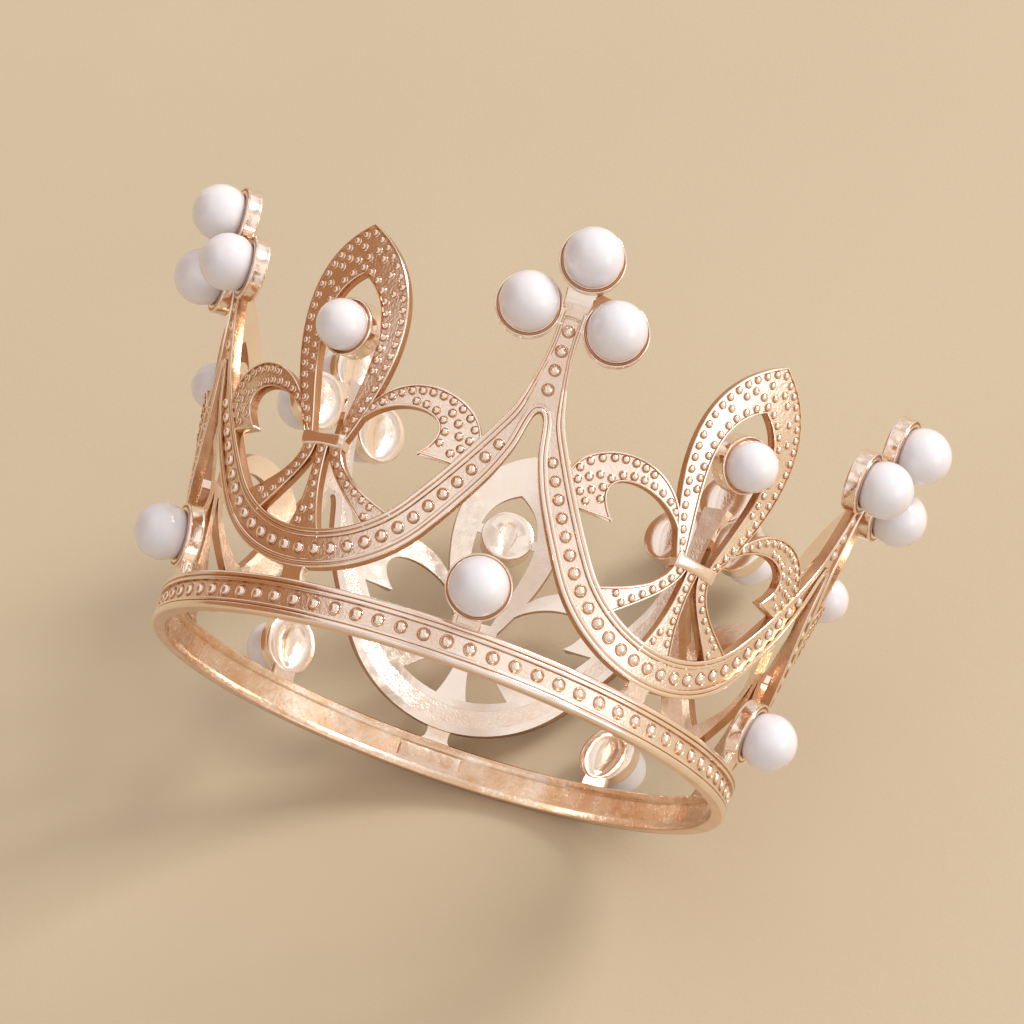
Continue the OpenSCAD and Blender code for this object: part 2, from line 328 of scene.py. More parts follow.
def normals(points):
    """Unit normals of a line, on the left of its direction."""
    out = []
    for i in range(len(points)):
        a, b = points[max(i - 1, 0)], points[min(i + 1, len(points) - 1)]
        d = math.dist(a, b) or 1.0
        out.append((-(b[1] - a[1]) / d, (b[0] - a[0]) / d))
    return out


def smoothstep(x):
    x = min(1.0, max(0.0, x))
    return x * x * (3 - 2 * x)


# ---------------------------------------------------------------- small details
# A cast bead: a domed stud in a sunk ring with a raised rim. (share of radius, height in mm)
BEAD = [(0, 0.50), (0.25, 0.475), (0.48, 0.40), (0.66, 0.27), (0.76, 0.11), (0.79, 0.0), (0.83, 0.0),
        (0.87, 0.11), (0.91, 0.14), (0.96, 0.10), (1.0, -0.06)]
# A small raised grain of the leaves
GRAIN = [(0, 0.42), (0.3, 0.4), (0.58, 0.3), (0.8, 0.12), (0.9, 0.03), (1.0, -0.1)]


def stud(shape, place, radius, profile, count, height=1.0):
    """A bead or a grain, a little uneven in size and lean."""
    wobble = Matrix.Rotation(rng.uniform(-0.06, 0.06), 4, (rng.uniform(-1, 1), rng.uniform(-1, 1), 0.01))
    size = radius * rng.uniform(0.97, 1.03)
    first = len(shape.mats)
    shape.lathe(place @ wobble, [(r * size, h * height) for r, h in profile], count)
    # the sunk ring and the foot get the darker plate: painted shade in the recess
    for row, (r, _) in enumerate(profile[1:]):
        if 0.78 < r < 0.85 or r == 1.0:
            for i in range(first + row * count, first + (row + 1) * count):
                shape.mats[i] = PAINTED_SHADE_FACE


# ---------------------------------------------------------------- band
def band():
    """The base ring: an edge rib above and below, a bead row between them, a rough inside."""
    s = Shape()
    r = BAND_R
    # lower half of the profile's outer and inner faces, as (distance from the outer radius, z)
    half = [(-2.1, 0.14), (-1.95, 0), (-0.42, 0), (-0.2, 0.06), (-0.05, 0.22), (0, 0.42), (0, 0.72),
            (-0.05, 0.84), (-0.19, 0.9), (-0.19, 0.97), (-0.06, 1.02), (-0.03, 1.12), (-0.03, 1.28),
            (-0.1, 1.4), (-BEAD_SINK, 1.52)]
    groove = [(-2.1, 1.05), (-2.02, 1.18), (-1.5, 1.26), (-1.5, 2.0)]
    low = [(r + d, z) for d, z in half]
    high = [(x, BAND_H - z) for x, z in reversed(low)]
    inner = [(r + d, z) for d, z in groove]
    profile = low + high + [(x, BAND_H - z) for x, z in inner] + inner[::-1]
    count = 300
    rings = [[polar(x, z, 2 * math.pi * k / count) for x, z in profile] for k in range(count)]
    outer = len(low) + len(high)
    mats = [SHINY] * (outer - 1) + [INSIDE] * (2 * len(inner) + 1)
    mats[len(low) - 1] = MATT
    # painted shade: these strips beside the ribs and round the bead row get the darker plate
    for i in (7, 8, 13, 15, 21, 22):  # the lines beside the ribs and round the bead row
        mats[i] = PAINTED_SHADE_FACE
    # painted shade: the underside's two strips get the darker underside plate
    mats[0] = mats[1] = BOTTOM_SHADE_FACE
    s.loft(rings, around=True, mats=mats)
    for k in range(BAND_BEADS):
        a = 2 * math.pi * (k + 0.5) / BAND_BEADS
        place = (Matrix.Rotation(a, 4, "Z") @ Matrix.Translation((0, -(r - BEAD_SINK) * MM, BAND_H / 2 * MM))
                 @ Matrix.Rotation(math.pi / 2, 4, "X"))
        stud(s, place, 1.0, BEAD, 18)
    s.build("band_beaded", GOLD, ["band"])


def splice():
    """The lap of solder that closes the band at the back, with lumpy edges."""
    s = Shape()
    low, high, half = 1.0, BAND_H - 1.0, 4.8
    face, back = BAND_INNER_R + 0.55, BAND_INNER_R + 0.75
    rows, cols = 9, 25
    rings = []
    for i in range(cols + 1):
        x = half * (2 * i / cols - 1)
        edge = math.sqrt(max(0.0, 1 - (x / half) ** 4))
        a = math.pi + x / BAND_INNER_R
        ring = []
        for j in range(rows + 1):
            z = low + (high - low) * j / rows
            lump = 0.05 * math.sin(2.1 * x + 1.3 * z) + 0.03 * math.sin(4.7 * x - 2.6 * z)
            crown = math.sin(math.pi * j / rows) ** 0.5 if 0 < j < rows else 0
            ring.append(polar(face - (0.5 + lump) * crown * edge, z, a))
        rings.append(ring + [polar(back, high, a), polar(back, low, a)])
    s.loft(rings)
    s.build("band_solder_lap", [SOLDER], ["band_splice"], sharp=60)


# ---------------------------------------------------------------- arches
def arch_w(z):
    """Width of an arch's arm, which narrows up to ARCH_TAPER_TOP."""
    return ARCH_W_LOW + (ARCH_W_HIGH - ARCH_W_LOW) * min(1.0, (z - ARCH_LOW) / (ARCH_TAPER_TOP - ARCH_LOW))


def arch_centre_half():
    """Middle line of the right-hand arm: a round swag, then a bow that steepens up to the peak."""
    steps = 40
    points = [(ARCH_ROUND * math.sin(a), ARCH_LOW + ARCH_ROUND * (1 - math.cos(a)))
              for a in (ARCH_SWEEP * i / steps for i in range(steps + 1))]
    turn = points[-1]
    bow = (turn[0] + ARCH_BOW * math.cos(ARCH_SWEEP), turn[1] + ARCH_BOW * math.sin(ARCH_SWEEP))
    for t in (i / steps for i in range(1, steps + 1)):
        points.append(tuple((1 - t) ** 2 * p + 2 * (1 - t) * t * q + t * t * r
                            for p, q, r in zip(turn, bow, ARCH_END)))
    return points


def peak_u(z):
    """Distance along the wall from an arch's middle to the peak beside it."""
    return SECTOR / 2 * cone_r(z)


def stem_half(z):
    """Half the width of a peak's stem, narrowest at STEM_WAIST and flaring down into the two arms."""
    if z > STEM_WAIST:
        return STEM_HALF + 0.06 * (z - STEM_WAIST)
    return STEM_HALF + 2.3 * ((STEM_WAIST - z) / 12.4) ** 1.85


CENTRE = arch_centre_half()
CENTRE_N = normals(CENTRE)
ARCH_BEAD_STEP, ARCH_BEAD_TOP = 2.55, 30.6
BEAD_H = -0.43
# The double rib, as (distance in from the edge, height in front of the wall), with its strips' materials
RAIL_PROFILE = [(0, -ARCH_T), (0, -0.14), (0.05, -0.05), (0.14, 0), (0.44, 0), (0.52, -0.05), (0.56, -0.17),
                (0.66, -0.17), (0.7, -0.07), (0.78, -0.03), (1.02, -0.04), (1.12, -0.12), (1.2, -0.5),
                (1.2, -ARCH_T)]
RAIL_MATS = [SHINY] * len(RAIL_PROFILE)
# painted shade: the side walls and the groove between the ribs get the darker plate
for strip in (0, 6, 11, 12):
    RAIL_MATS[strip] = PAINTED_SHADE_FACE


def rail_scale(z):
    """The ribs grow narrower as they run up the stem."""
    return 1 - 0.4 * smoothstep((z - 33) / 8)


def arch_edges():
    """Right halves of the upper and the lower edge of an arch, from its middle to the peak."""
    upper, lower = [], []
    for p, n in zip(CENTRE, CENTRE_N):
        w = arch_w(p[1])
        up = (p[0] + n[0] * w / 2, p[1] + n[1] * w / 2)
        if up[0] - peak_u(up[1]) < -4.15 and up[1] < 33.4:
            upper.append(up)
        w2 = w - 1.4 * smoothstep((p[1] - 25) / 9)
        down = (p[0] - n[0] * w2 / 2, p[1] - n[1] * w2 / 2)
        if down[0] - peak_u(down[1]) < -1.75:
            lower.append(down)
    # the upper edge goes on up the side of the stem
    z = 34.2
    while z <= STEM_RAIL_TOP + 1e-6:
        upper.append((peak_u(z) - stem_half(z), z))
        z += 0.6
    upper = relax(resample(upper, 0.55), 6)
    # the lower edge turns over in a round V and meets its mirror image
    a, b = lower[-2], lower[-1]
    d = math.dist(a, b)
    step = ((b[0] - a[0]) / d, (b[1] - a[1]) / d)
    apex = (peak_u(V_APEX), V_APEX)
    turn = [b, (b[0] + 2.0 * step[0], b[1] + 2.0 * step[1]), (apex[0] - 1.0, apex[1]), apex]
    lower = resample(lower + curve(turn, 14)[1:], 0.5)
    over = [(2 * peak_u(z) - u, z) for u, z in reversed(lower[:-1])]
    # one point past the apex stays, which rail() spares
    lower = relax(lower + over, 2)[:len(lower) + 1]
    return upper, lower


UPPER, LOWER = arch_edges()
UPPER_EDGE, LOWER_EDGE = mirrored(UPPER)[:-1] + UPPER, mirrored(LOWER)[:-1] + LOWER
UPPER_NORMALS = normals(UPPER_EDGE)


def rail(shape, line, side, azimuth, spare=0):
    """Sweeps the double rib along an edge; side says on which side of the line the casting lies.
    The spare points at each end only steer the direction of the last ring."""
    rings = []
    for (u, z), n in list(zip(line, normals(line)))[spare:len(line) - spare]:
        k = side * rail_scale(z)
        rings.append([wrap(u + e * k * n[0], z + e * k * n[1], h, azimuth) for e, h in RAIL_PROFILE])
    shape.loft(rings, mats=RAIL_MATS)


def floor_strip(shape, a_line, b_line, top, back, azimuth):
    """The sunk channel between two ribs, from its face (top) to the back of the casting."""
    rings = [[wrap(*p, h, azimuth) for p, h in ((a, top), (b, top), (b, back), (a, back))]
             for a, b in zip(a_line, b_line)]
    shape.loft(rings, mats=[MATT] * 4)


def arch(n):
    """One swag arch with its two arms, bead row and foot; the peak stems are stem()."""
    azimuth = (n - 0.5) * SECTOR
    s = Shape()
    rail(s, UPPER_EDGE, -1, azimuth)
    rail(s, LOWER_EDGE, 1, azimuth, spare=1)
    # the two halves of the channel lie at slightly different depths where they overlap
    for side, top in ((1, -0.45), (-1, -0.465)):
        a_line, b_line = [], []
        for p, q in zip(CENTRE, CENTRE_N):
            w = arch_w(p[1]) / 2 - 0.55
            w2 = w - 1.3 * smoothstep((p[1] - 26) / 7)
            a_line.append((side * (p[0] + q[0] * w), p[1] + q[1] * w))
            b_line.append((side * (p[0] - q[0] * w2), p[1] - q[1] * w2))
        if side < 0:
            a_line, b_line = b_line, a_line
        floor_strip(s, a_line, b_line, top, -ARCH_T + 0.03, azimuth)
    # beads along the channel, from the middle out, smaller towards the peaks
    along = lengths(CENTRE)
    for k in range(int(along[-1] / ARCH_BEAD_STEP)):
        target = k * ARCH_BEAD_STEP
        i = max(j for j in range(len(along)) if along[j] <= target)
        t = (target - along[i]) / (along[i + 1] - along[i])
        u, z = (CENTRE[i][j] + t * (CENTRE[i + 1][j] - CENTRE[i][j]) for j in (0, 1))
        if z > ARCH_BEAD_TOP:
            break
        radius = 0.95 - 0.12 * smoothstep((z - 12) / 18)
        for side in ((1,) if k == 0 else (1, -1)):
            stud(s, wall_place(side * u, z, BEAD_H, azimuth), radius, BEAD, 16)
    # the foot that joins the arch to the band, waisted, with a step at both ends
    rings = []
    rows = 8
    for j in range(rows + 1):
        z = BAND_H - 0.1 + (7.9 - BAND_H) * j / rows
        half = 2.0 - 0.28 * math.sin(math.pi * j / rows) + (0.25 if j in (0, rows) else 0)
        rings.append([wrap(x, z, h, azimuth) for x, h in
                      ((-half, -1.25), (-half, -0.3), (-half + 0.2, -0.12), (half - 0.2, -0.12), (half, -0.3),
                       (half, -1.25))])
    s.loft(rings)
    s.build(f"arch_cast_{n}", GOLD[:3], [f"arch_{n}"])


def stem(n):
    """The channel, beads, plate and cross line of the stem under one peak."""
    azimuth = (n - 1) * SECTOR
    s = Shape()
    left, right = [], []
    z = V_APEX + 0.35
    while z <= STEM_RAIL_TOP + 0.3:
        half = stem_half(z) - 0.35
        left.append((-half, z))
        right.append((half, z))
        z += 0.5
    floor_strip(s, left, right, -0.435, -ARCH_T + 0.02, azimuth)
    for z in (38.1, 40.75, 43.4, 46.1):
        stud(s, wall_place(0, z, BEAD_H, azimuth), 0.92, BEAD, 16, height=0.95)
    # plain plate above the cross line, up to the top cup
    rings = []
    for t in (j / 10 for j in range(11)):
        z = STEM_RAIL_TOP - 0.25 + (STEM_TOP - STEM_RAIL_TOP + 0.25) * t
        half = stem_half(z) + 0.02 + 0.12 * t
        bow = 0.28 * (1 - t)
        outline = [(-half, -ARCH_T), (-half, -0.16), (-half + 0.14, -0.03), (-half / 2, -0.02), (0, -0.02),
                   (half / 2, -0.02), (half - 0.14, -0.03), (half, -0.16), (half, -ARCH_T)]
        # its face bends out to meet the back of the top cup
        out = 0.5 * smoothstep((z - 49.4) / 2.6)
        rings.append([wrap(x, z + bow * (1 - (x / half) ** 2), h + (out if h > -1 else 0), azimuth)
                      for x, h in outline])
    s.loft(rings)
    # the raised cross line, a shallow arc
    reach = 1.25
    line = [(x, STEM_RAIL_TOP - 0.42 + 0.26 * (1 - (x / reach) ** 2))
            for x in (reach * (i / 6 - 1) for i in range(13))]
    rings = []
    for (u, z), q in zip(line, normals(line)):
        rings.append([wrap(u + e * q[0], z + e * q[1], h, azimuth)
                      for e, h in ((-0.16, -0.5), (-0.12, -0.2), (0, -0.1), (0.12, -0.2), (0.16, -0.5))])
    s.loft(rings)
    s.build(f"stem_cast_{n}", GOLD[:3])


# ---------------------------------------------------------------- fleurs-de-lis
# Grains: radius, least distance apart, inset of the first row, further inset of each next row
GRAIN_R, GRAIN_STEP, GRAIN_INSET, GRAIN_ROW = 0.68, 1.5, 0.86, 0.45
NARROWEST_PAVED = 1.25
BORDER = 0.26


def nearest(p, line):
    """Distance from a point to the nearest point of a line."""
    return min(math.dist(p, q) for q in line)


def off_rail(p):
    """How far a point lies inside the arch's opening, away from its upper edge, and which way is away."""
    i = min(range(len(UPPER_EDGE)), key=lambda k: math.dist(p, UPPER_EDGE[k]))
    q, n = UPPER_EDGE[i], UPPER_NORMALS[i]
    return (p[0] - q[0]) * n[0] + (p[1] - q[1]) * n[1], n


def kept_off_rail(points):
    """Pushes the points of an outline that would cover the arch's rail back to just over its edge."""
    overlap = 0.25
    out = []
    for p in points:
        d, n = off_rail(p)
        push = max(0.0, -overlap - d)
        out.append((p[0] + push * n[0], p[1] + push * n[1]))
    return out


def inside(p, outline):
    """Whether a point lies within a closed outline."""
    x, y = p
    crossings = 0
    for (x0, y0), (x1, y1) in zip(outline, outline[1:] + outline[:1]):
        if (y0 > y) != (y1 > y) and x < x0 + (y - y0) * (x1 - x0) / (y1 - y0):
            crossings += 1
    return crossings % 2 == 1


def blend(p, q, t):
    """The point at share t of the way from p to q."""
    return tuple((1 - t) * a + t * b for a, b in zip(p, q))


def pave(shape, a_line, b_line, azimuth, floor, ends):
    """Rows of grains between two edges: along each edge first, then inside, wherever one still fits."""
    a_fine, b_fine = resample(a_line, 0.15), resample(b_line, 0.15)
    starts, stops = ([blend(a_line[end], b_line[end], k / 12) for k in range(13)] for end in (0, -1))
    outline = a_line + b_line[::-1]
    placed = []
    for row in range(8):
        for line, other, side in ((a_fine, b_fine, 1), (b_fine, a_fine, -1)):
            ns = normals(line)
            for i in range(4, len(line) - 4):
                width = nearest(line[i], other)
                if width < NARROWEST_PAVED:
                    continue
                e = GRAIN_INSET + row * GRAIN_ROW
                if row == 0:
                    e = min(e, width / 2)
                elif e > width - 0.7:
                    continue
                p = (line[i][0] - side * e * ns[i][0], line[i][1] - side * e * ns[i][1])
                if placed and nearest(p, placed) < GRAIN_STEP or not inside(p, outline):
                    continue
                if min(nearest(p, other), nearest(p, line)) < min(0.8, width / 2 - 0.03):
                    continue
                if nearest(p, starts) < ends[0] or nearest(p, stops) < ends[1] or off_rail(p)[0] < 0.5:
                    continue
                placed.append(p)
    for u, z in placed:
        stud(shape, wall_place(u, z, floor, azimuth), GRAIN_R, GRAIN, 12)


def limb(shape, a_line, b_line, azimuth, lift=0.0, ends=(0.0, 0.0)):
    """A strip of casting between two edges, with a thin raised border and a sunk face.
    a_line has the strip on its right-hand side; ends says how far the grains keep off each end."""
    back, top, floor = -1.42, -0.02 + lift, -0.22 + lift
    foot = BORDER + 0.12
    rings = []
    for a, b, p, q in zip(a_line, b_line, normals(a_line), normals(b_line)):
        k = min(1.0, math.dist(a, b) / (2.6 * BORDER + 0.5))
        rows = [(0, back), (0, top - 0.12), (0.1 * k, top), (BORDER * k, top), (foot * k, floor)]
        ring = [wrap(a[0] - e * p[0], a[1] - e * p[1], h, azimuth) for e, h in rows]
        ring += [wrap(b[0] + e * q[0], b[1] + e * q[1], h, azimuth) for e, h in reversed(rows)]
        rings.append(ring)
    # painted shade: the side walls and the slope down into the sunk face get the darker plate
    half = [PAINTED_SHADE_FACE, SHINY, SHINY, PAINTED_SHADE_FACE]
    shape.loft(rings, mats=half + [MATT] + half[::-1] + [SHINY])
    if ends[1] > 0:
        # the border runs across a free end as well
        a, b = a_line[-1], b_line[-1]
        line = [blend(a, b, 0.03 + 0.94 * k / 8) for k in range(9)]
        ns = normals(line)
        inward = (a_line[-2][0] - a[0]) * ns[4][0] + (a_line[-2][1] - a[1]) * ns[4][1]
        sign = 1 if inward > 0 else -1
        rows = [(0, back + 0.1), (0, top - 0.12), (0.1, top), (BORDER, top), (foot, floor),
                (foot, back + 0.1)]
        shape.loft([[wrap(u + sign * e * n[0], z + sign * e * n[1], h, azimuth) for e, h in rows]
                    for (u, z), n in zip(line, ns)])
    pave(shape, a_line, b_line, azimuth, floor - 0.02, ends)


def flipped(points):
    """A line on the other side of the middle, walked the same way."""
    return [(-x, z) for x, z in points]


def fleur(n):
    """One fleur-de-lis: its loop, two curls, three legs and the tie round its waist."""
    azimuth = (n - 0.5) * SECTOR
    s = Shape()
    # the closed loop, walked from its left foot over the tip to its right foot
    outer, inner = curve(LOOP_OUT), curve(LOOP_IN)
    limb(s, mirrored(outer)[:-1] + outer, mirrored(inner)[:-1] + inner, azimuth)
    # right curl and leg, then left, at slightly different depths, so that no overlapping faces coincide
    curl = kept_off_rail(curve(CURL_OUT)), kept_off_rail(curve(CURL_IN))
    leg = curve(LEG_UPPER, 16), curve(LEG_LOWER, 16)
    curl_ends = (0.9, 0.85)
    limb(s, curl[0], curl[1], azimuth, lift=-0.03, ends=curl_ends)
    limb(s, leg[0], leg[1], azimuth, lift=-0.02)
    limb(s, flipped(curl[1]), flipped(curl[0]), azimuth, lift=-0.035, ends=curl_ends)
    limb(s, flipped(leg[1]), flipped(leg[0]), azimuth, lift=-0.025)
    middle = curve(MIDDLE_LEG, 16)
    limb(s, middle, flipped(middle), azimuth, lift=-0.03)
    # the tie round the waist, taller and flatter towards its ends
    rings = []
    reach, steps = 3.5, 14
    for i in range(steps + 1):
        x = reach * (2 * i / steps - 1)
        t = abs(x / reach)
        rounding = 0.12 if i in (0, steps) else 0
        half = 0.8 + 0.3 * t ** 1.6 - rounding
        top = 0.42 - 0.1 * t * t - rounding
        rings.append([wrap(x, TIE_Z + a * half, h, azimuth) for a, h in
                      ((-1, -1.4), (-1, top - 0.35), (-0.86, top - 0.1), (-0.6, top), (0.6, top),
                       (0.86, top - 0.1), (1, top - 0.35), (1, -1.4))])
    s.loft(rings)
    s.build(f"fleur_cast_{n}", GOLD[:3], [f"fleur_{n}"])


# ---------------------------------------------------------------- settings and pearls
def pearl_place(azimuth, centre, lean, sideways=0.0):
    """Local +Z looks out of the wall and the origin is the pearl's centre, given as (radius, z)."""
    r, z = centre
    return (Matrix.Rotation(azimuth, 4, "Z") @ Matrix.Translation(Vector((sideways, -r, z)) * MM)
            @ Matrix.Rotation(math.pi / 2 + lean, 4, "X"))


def teardrop(a, length, width, k):
    """Outline of the recess in a cup's back at share k of its size, rounder at the top and drawn out
    towards the neck."""
    y = math.sin(a)
    x = math.cos(a) * (width / 2) * (1 + 0.35 * y)
    return (x * k, y * length / 2 * k - 0.55)


def cup(shape, place, d, h):
    """A cup of height h for a pearl of diameter d: round seat, grooved rim, wall and a recess in its back."""
    back, seat, r = -d / 2 - CUP_FLOOR, d / 2 + 0.03, d / 2 + 0.5
    rim = back + h
    profile = [(0, -seat)]
    seat_rows = 6
    for k in range(1, seat_rows + 1):
        z = -seat + (rim - 0.25 + seat) * k / seat_rows
        profile.append((math.sqrt(max(0.0, seat * seat - z * z)), z))
    profile += [(r - 0.95, rim + 0.02), (r - 0.78, rim + 0.05), (r - 0.6, rim + 0.02), (r - 0.5, rim - 0.14),
                (r - 0.36, rim - 0.18), (r - 0.28, rim - 0.06), (r - 0.18, rim), (r - 0.06, rim - 0.05),
                (r, rim - 0.16), (r - 0.03, rim - 0.4), (r - 0.09, (rim + back) / 2), (r - 0.04, back + 0.4),
                (r - 0.02, back + 0.22), (r - 0.1, back + 0.07), (r - 0.28, back)]
    count = 48
    # painted shade: the seat and the rim's groove get the darker plate
    mats = [PAINTED_SHADE_FACE] * (seat_rows + 1) + [SHINY, SHINY, PAINTED_SHADE_FACE, PAINTED_SHADE_FACE, PAINTED_SHADE_FACE] + [SHINY] * 9
    last = shape.lathe(place, profile, count, mats)[-1]
    length, width = 0.84 * d, 0.38 * d
    for k, z in ((1.0, back), (0.88, back + 0.14), (0.66, back + 0.27), (0.3, back + 0.33)):
        ring = shape.ring([place @ (Vector((*teardrop(2 * math.pi * i / count, length, width, k), z)) * MM)
                           for i in range(count)])
        for i in range(count):
            j = (i + 1) % count
            shape.face([last[i], ring[i], ring[j], last[j]], MATT if k < 1 else SHINY)
        last = ring
    shape.face(last[::-1], MATT)


def block(shape, place, xs, ys, zs):
    """A small bar between two corners, with its edges cut off."""
    (x0, x1), (y0, y1), (z0, z1) = xs, ys, zs
    b = 0.15
    cy, cz = (y0 + y1) / 2, (z0 + z1) / 2
    outline = ((y0, z0 + b), (y0 + b, z0), (y1 - b, z0), (y1, z0 + b),
               (y1, z1 - b), (y1 - b, z1), (y0 + b, z1), (y0, z1 - b))
    rings = []
    for x, cut in ((x0, b), (x0 + b, 0), (x1 - b, 0), (x1, b)):
        ky, kz = 1 - 2 * cut / (y1 - y0), 1 - 2 * cut / (z1 - z0)
        rings.append([place @ (Vector((x, cy + (y - cy) * ky, cz + (z - cz) * kz)) * MM) for y, z in outline])
    shape.loft(rings)


def peak_place(azimuth, sideways, up):
    """Place of a peak pearl, up along the leaning stem and sideways from it."""
    centre = (SIDE_PEARL[0] + up * math.sin(PEAK_LEAN), SIDE_PEARL[1] + up * math.cos(PEAK_LEAN))
    return pearl_place(azimuth, centre, CUP_TILT, sideways)


def peak(n):
    """The three cups of one peak, with their pearls."""
    azimuth = (n - 1) * SECTOR
    s = Shape()
    places = {"left": peak_place(azimuth, -SIDE_REACH, 0), "right": peak_place(azimuth, SIDE_REACH, 0),
              "top": peak_place(azimuth, 0, TOP_REACH)}
    for place in places.values():
        cup(s, place, PEARL_D, CUP_H)
    # a short block on each side joins the side cups to the stem
    middle = peak_place(azimuth, 0, 0)
    for ends in ((-2.3, -1.2), (1.2, 2.3)):
        block(s, middle, ends, (-1.3, 1.3), (CUP_BACK + 0.1, CUP_BACK + 1.5))
    # the web in the corner between the stem, the top cup and the right-hand cup
    web = [(1.3, 1.5), (1.5, 4.6), (4.3, 4.2)]
    s.loft([[middle @ (Vector((x, y, CUP_BACK + h)) * MM) for x, y in web] for h in (0.3, 0.9)])
    # painted shade: the web's face in the corner gets the darker plate
    s.mats[-1] = PAINTED_SHADE_FACE
    s.build(f"peak_cups_{n}", GOLD[:3], [f"peak_setting_{n}"])
    for side, place in places.items():
        pearl(f"pearl_{side}_{n}", place, PEARL_D, f"peak_{side}_pearl_{n}")


def pearl(name, place, d, node_name):
    """A half-drilled faux pearl: a ball with its peg hole at the back."""
    s = Shape()
    r, hole = d / 2, 0.55
    profile = [(0, -r + HOLE_DEPTH), (hole, -r + HOLE_DEPTH)]
    start = math.pi - math.asin(hole / r)
    rows = 30
    for k in range(rows + 1):
        a = start * (1 - k / rows)
        profile.append((r * math.sin(a) if k < rows else 0.0, r * math.cos(a)))
    s.lathe(place, profile, 48)
    s.build(name, [PEARL], [node_name], sharp=60)


def band_cup(n):
    """The cup, neck and pearl that stand on the band under a peak."""
    azimuth = (n - 1) * SECTOR
    s = Shape()
    place = pearl_place(azimuth, BAND_PEARL, WALL_TILT)
    cup(s, place, PEARL_D, CUP_H)
    # the neck: two stepped blocks between the cup and the band
    block(s, place, (-1.95, 1.95), (-5.55, -2.9), (CUP_BACK + 0.05, CUP_BACK + 1.35))
    block(s, place, (-1.45, 1.45), (-5.3, -3.3), (CUP_BACK + 0.4, CUP_BACK + 1.45))
    s.build(f"band_cup_{n}", GOLD[:3], [f"band_setting_{n}"])
    pearl(f"pearl_band_{n}", place, PEARL_D, f"band_pearl_{n}")


def fleur_cup(n):
    """The cup and pearl in a fleur's loop, held by a waisted web on each side."""
    azimuth = (n - 0.5) * SECTOR
    s = Shape()
    place = pearl_place(azimuth, FLEUR_PEARL, WALL_TILT)
    cup(s, place, SMALL_PEARL_D, FLEUR_CUP_H)
    web_z, web_h = 39.9, 1.8
    for side in (-1, 1):
        rings = []
        for t in (j / 5 for j in range(6)):
            half = web_h / 2 * (1 - 0.18 * math.sin(math.pi * t))
            rings.append([wrap(side * (3.5 + 2.6 * t), web_z + a * half, h, azimuth) for a, h in
                          ((-1, -1.1), (-1, -0.55), (-0.8, -0.38), (0.8, -0.38), (1, -0.55), (1, -1.1))])
        s.loft(rings)
    s.build(f"fleur_cup_{n}", GOLD[:3], [f"fleur_setting_{n}"])
    pearl(f"pearl_fleur_{n}", place, SMALL_PEARL_D, f"fleur_pearl_{n}")


band()
splice()
for number in range(1, PEAKS + 1):
    arch(number)
    stem(number)
    fleur(number)
    peak(number)
    band_cup(number)
    fleur_cup(number)


# ---------------------------------------------------------------- camera
# Fitted to the photograph: from the front and a little under the horizon, with the crown leaning right
TARGET = Vector((0.242, -7.749, 30.48)) * MM
AZIMUTH, ELEVATION, ROLL = math.radians(0.924), math.radians(-13.911), math.radians(19.44)
DISTANCE = 622 * MM


def add_camera():
    """A long lens on the crown from the photograph's angle."""
    toward = Vector((math.sin(AZIMUTH) * math.cos(ELEVATION), -math.cos(AZIMUTH) * math.cos(ELEVATION),
                     math.sin(ELEVATION)))
    right = Vector((math.cos(AZIMUTH), math.sin(AZIMUTH), 0))
    roll = Matrix.Rotation(ROLL, 3, toward)
    lens = bpy.data.cameras.new("camera")
    lens.lens, lens.sensor_width = 156.75, 36
    lens.clip_start, lens.clip_end = 0.01, 20
    camera = bpy.data.objects.new("camera", lens)
    bpy.context.scene.collection.objects.link(camera)
    camera.matrix_world = axes(roll @ right, roll @ toward.cross(right), toward, TARGET + toward * DISTANCE)
    bpy.context.scene.camera = camera


add_camera()


# ---------------------------------------------------------------- stage
BOARD_SIZE = 6.0
# The table that the crown lies on: it all but touches the back of the band and one pearl of a back peak,
# and it cuts 3.2 mm into the band pearl between them
TABLE_AZIMUTH, TABLE_TILT = math.radians(160), math.radians(16.2)


def paper(name):
    """Pale, faintly fibrous satin board that shows on its front side only."""
    m, t, b = material(name, (0.64, 0.535, 0.375), 0.0, 0.55, Specular_IOR_Level=0.3)
    tint = ramp(t, noise(t, 9, 3), 0.3, 0.7, (0.625, 0.52, 0.365), (0.655, 0.55, 0.39))
    t.links.new(tint, b.inputs["Base Color"])
    bump(t, b, noise(t, 1800, 2), 0.00003)
    geometry = node(t, "ShaderNodeNewGeometry")
    clear = node(t, "ShaderNodeBsdfTransparent")
    mix = node(t, "ShaderNodeMixShader")
    t.links.new(geometry.outputs["Backfacing"], mix.inputs["Fac"])
    t.links.new(b.outputs["BSDF"], mix.inputs[1])
    t.links.new(clear.outputs["BSDF"], mix.inputs[2])
    t.links.new(mix.outputs["Shader"], t.nodes["Material Output"].inputs["Surface"])
    return m


def board(name, place):
    """A large square board in the local XY plane of the matrix."""
    mesh = bpy.data.meshes.new(name)
    steps = 8
    row = steps + 1
    verts = [tuple(place @ Vector((BOARD_SIZE * (i / steps - 0.5), BOARD_SIZE * (j / steps - 0.5), 0)))
             for j in range(row) for i in range(row)]
    corners = [j * row + i for j in range(steps) for i in range(steps)]
    mesh.from_pydata(verts, [], [[c, c + 1, c + row + 1, c + row] for c in corners])
    mesh.materials.append(paper(name + "_paper"))
    o = bpy.data.objects.new(name, mesh)
    bpy.context.scene.collection.objects.link(o)
    return o


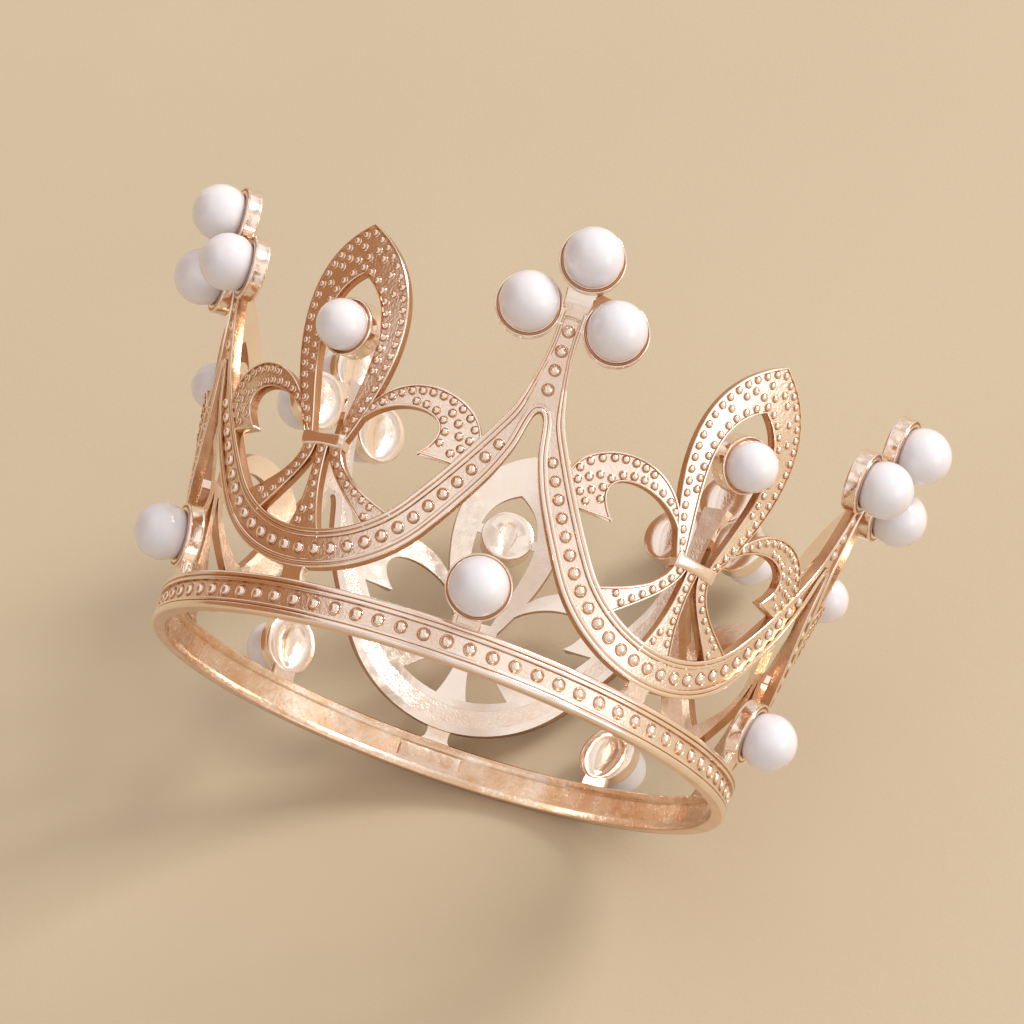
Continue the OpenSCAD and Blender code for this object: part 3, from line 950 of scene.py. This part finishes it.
def add_boards():
    """The tilted table, and a level floor that only the camera sees."""
    outward = Vector((math.sin(TABLE_AZIMUTH), -math.cos(TABLE_AZIMUTH), 0))
    normal = -outward * math.cos(TABLE_TILT) + Vector((0, 0, math.sin(TABLE_TILT)))
    x = Vector((0, 0, 1)).cross(normal).normalized()
    board("table_board", axes(x, normal.cross(x), normal, outward * (BAND_R + 0.05) * MM))
    floor = board("floor_board", Matrix.Translation((0, 0, -0.0001)))
    floor.visible_shadow = floor.visible_diffuse = floor.visible_glossy = floor.visible_transmission = False


add_boards()


# ---------------------------------------------------------------- light
def softbox(name, direction, distance, size, power, color):
    """A square soft light that shines on the middle of the crown from a direction; metres and watts."""
    data = bpy.data.lights.new(name, "AREA")
    data.shape, data.size, data.energy, data.color = "SQUARE", size, power, color
    o = bpy.data.objects.new(name, data)
    d = Vector(direction).normalized()
    o.location = Vector((0, 0, 0.03)) + d * distance
    o.rotation_euler = d.to_track_quat("Z", "Y").to_euler()
    bpy.context.scene.collection.objects.link(o)


softbox("key", (0.43, -0.52, 0.74), 2.0, 0.68, 25.0, (1.0, 0.97, 0.94))
softbox("window", (0.80, -0.58, 0.02), 1.1, 0.5, 0.8, (1.0, 0.98, 0.96))


def studio():
    """A pale tent round the crown, open to a dark brown room on the far left, with soft uneven walls."""
    w = bpy.data.worlds.new("studio")
    bpy.context.scene.world = w
    w.use_nodes = True
    t = w.node_tree
    background = t.nodes["Background"]
    coords = node(t, "ShaderNodeTexCoord")
    split = node(t, "ShaderNodeSeparateXYZ")
    t.links.new(coords.outputs["Generated"], split.inputs["Vector"])
    # cloudy walls
    cloud = node(t, "ShaderNodeTexNoise", Scale=2.6, Detail=2.0)
    t.links.new(coords.outputs["Generated"], cloud.inputs["Vector"])
    wall = ramp(t, cloud.outputs["Fac"], 0.38, 0.58, (0.62, 0.52, 0.46), (1.0, 0.97, 0.95))
    # brightest round the horizon
    height = node(t, "ShaderNodeMapRange")
    height.inputs["From Min"].default_value, height.inputs["From Max"].default_value = -1, 1
    t.links.new(split.outputs["Z"], height.inputs["Value"])
    level = ramp(t, height.outputs["Result"], 0.0, 1.0, (0.85, 0.85, 0.85), (1.0, 1.0, 1.0))
    for place, value in ((0.30, 0.85), (0.40, 1.05), (0.62, 1.05), (0.74, 0.90)):
        level.node.color_ramp.elements.new(place).color = (value, value, value, 1)
    lit = node(t, "ShaderNodeMix", data_type="RGBA", blend_type="MULTIPLY")
    lit.inputs["Factor"].default_value = 1.0
    t.links.new(wall, lit.inputs["A"])
    t.links.new(level, lit.inputs["B"])
    # the dark room on the left
    side = node(t, "ShaderNodeMapRange", interpolation_type="SMOOTHSTEP")
    side.inputs["From Min"].default_value, side.inputs["From Max"].default_value = -0.88, -0.76
    t.links.new(split.outputs["X"], side.inputs["Value"])
    mix = node(t, "ShaderNodeMix", data_type="RGBA")
    mix.inputs["A"].default_value = (0.38, 0.185, 0.085, 1)
    t.links.new(side.outputs["Result"], mix.inputs["Factor"])
    t.links.new(lit.outputs["Result"], mix.inputs["B"])
    # the camera itself sees a plain pale wall behind the table
    seen = node(t, "ShaderNodeMix", data_type="RGBA")
    seen.inputs["B"].default_value = (0.72, 0.62, 0.48, 1)
    path = node(t, "ShaderNodeLightPath")
    t.links.new(path.outputs["Is Camera Ray"], seen.inputs["Factor"])
    t.links.new(mix.outputs["Result"], seen.inputs["A"])
    t.links.new(seen.outputs["Result"], background.inputs["Color"])
    # reflections show the tent brighter than it lights the scene
    strength = node(t, "ShaderNodeMapRange")
    strength.inputs["To Min"].default_value, strength.inputs["To Max"].default_value = 0.96, 1.05
    t.links.new(path.outputs["Is Glossy Ray"], strength.inputs["Value"])
    t.links.new(strength.outputs["Result"], background.inputs["Strength"])


studio()
bpy.context.scene.view_settings.view_transform = "Standard"
